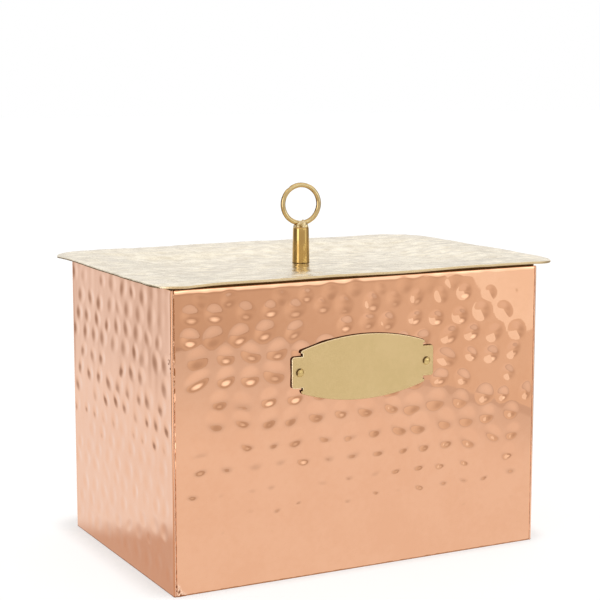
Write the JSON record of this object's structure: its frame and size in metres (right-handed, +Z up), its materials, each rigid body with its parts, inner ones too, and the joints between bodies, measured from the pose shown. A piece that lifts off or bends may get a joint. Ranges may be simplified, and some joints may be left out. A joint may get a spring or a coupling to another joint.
{
  "type": "index card box",
  "caption": "Rectangular soldered sheet-metal box for index cards, with a riveted label plate and a lift-off lid that has a locating lip and a ring on a post.",
  "frame": {"origin": "middle of the underside, on the surface that the box stands on", "axes": "+Z up, +X along the width to the right, the front with the label plate faces -Y"},
  "size_m": [0.1944, 0.134, 0.1636],
  "materials": {
    "hammered_copper": "polished copper sheet, hammered in rows of shallow round dents that fade towards the base",
    "plain_copper": "smooth copper sheet, unpolished",
    "solder": "dull grey soft solder",
    "label_brass": "satin brushed brass, bare",
    "rivet_brass": "polished brass",
    "lid_brass": "pale brass sheet, finely planished",
    "lip_brass": "brass strip, dulled by soldering",
    "finial_brass": "turned and drawn brass, polished",
    "braze": "lumpy bead of brass braze",
    "screw_steel": "plain steel"
  },
  "bodies": {
    "box": {"front_panel": "hammered_copper", "back_panel": "hammered_copper", "left_panel": "hammered_copper", "right_panel": "hammered_copper", "base_panel": "plain_copper", "base_solder": "solder", "corner_solder_front_left": "solder", "corner_solder_front_right": "solder", "corner_solder_back_left": "solder", "corner_solder_back_right": "solder", "label_plate": "label_brass", "label_rivet_left": "rivet_brass", "label_rivet_right": "rivet_brass"},
    "lid": {"lid_plate": "lid_brass", "lid_lip_front": "lip_brass", "lid_lip_right": "lip_brass", "lid_lip_back": "lip_brass", "lid_lip_left": "lip_brass", "finial_post": "finial_brass", "finial_ring": "finial_brass", "finial_braze": "braze", "finial_washer": "screw_steel", "finial_screw": "screw_steel"}
  },
  "joints": [
    {"name": "lid_lift", "type": "slide", "parent": "box", "child": "lid", "axis": [0, 0, 1], "range_m": [0, 0.15]}
  ]
}
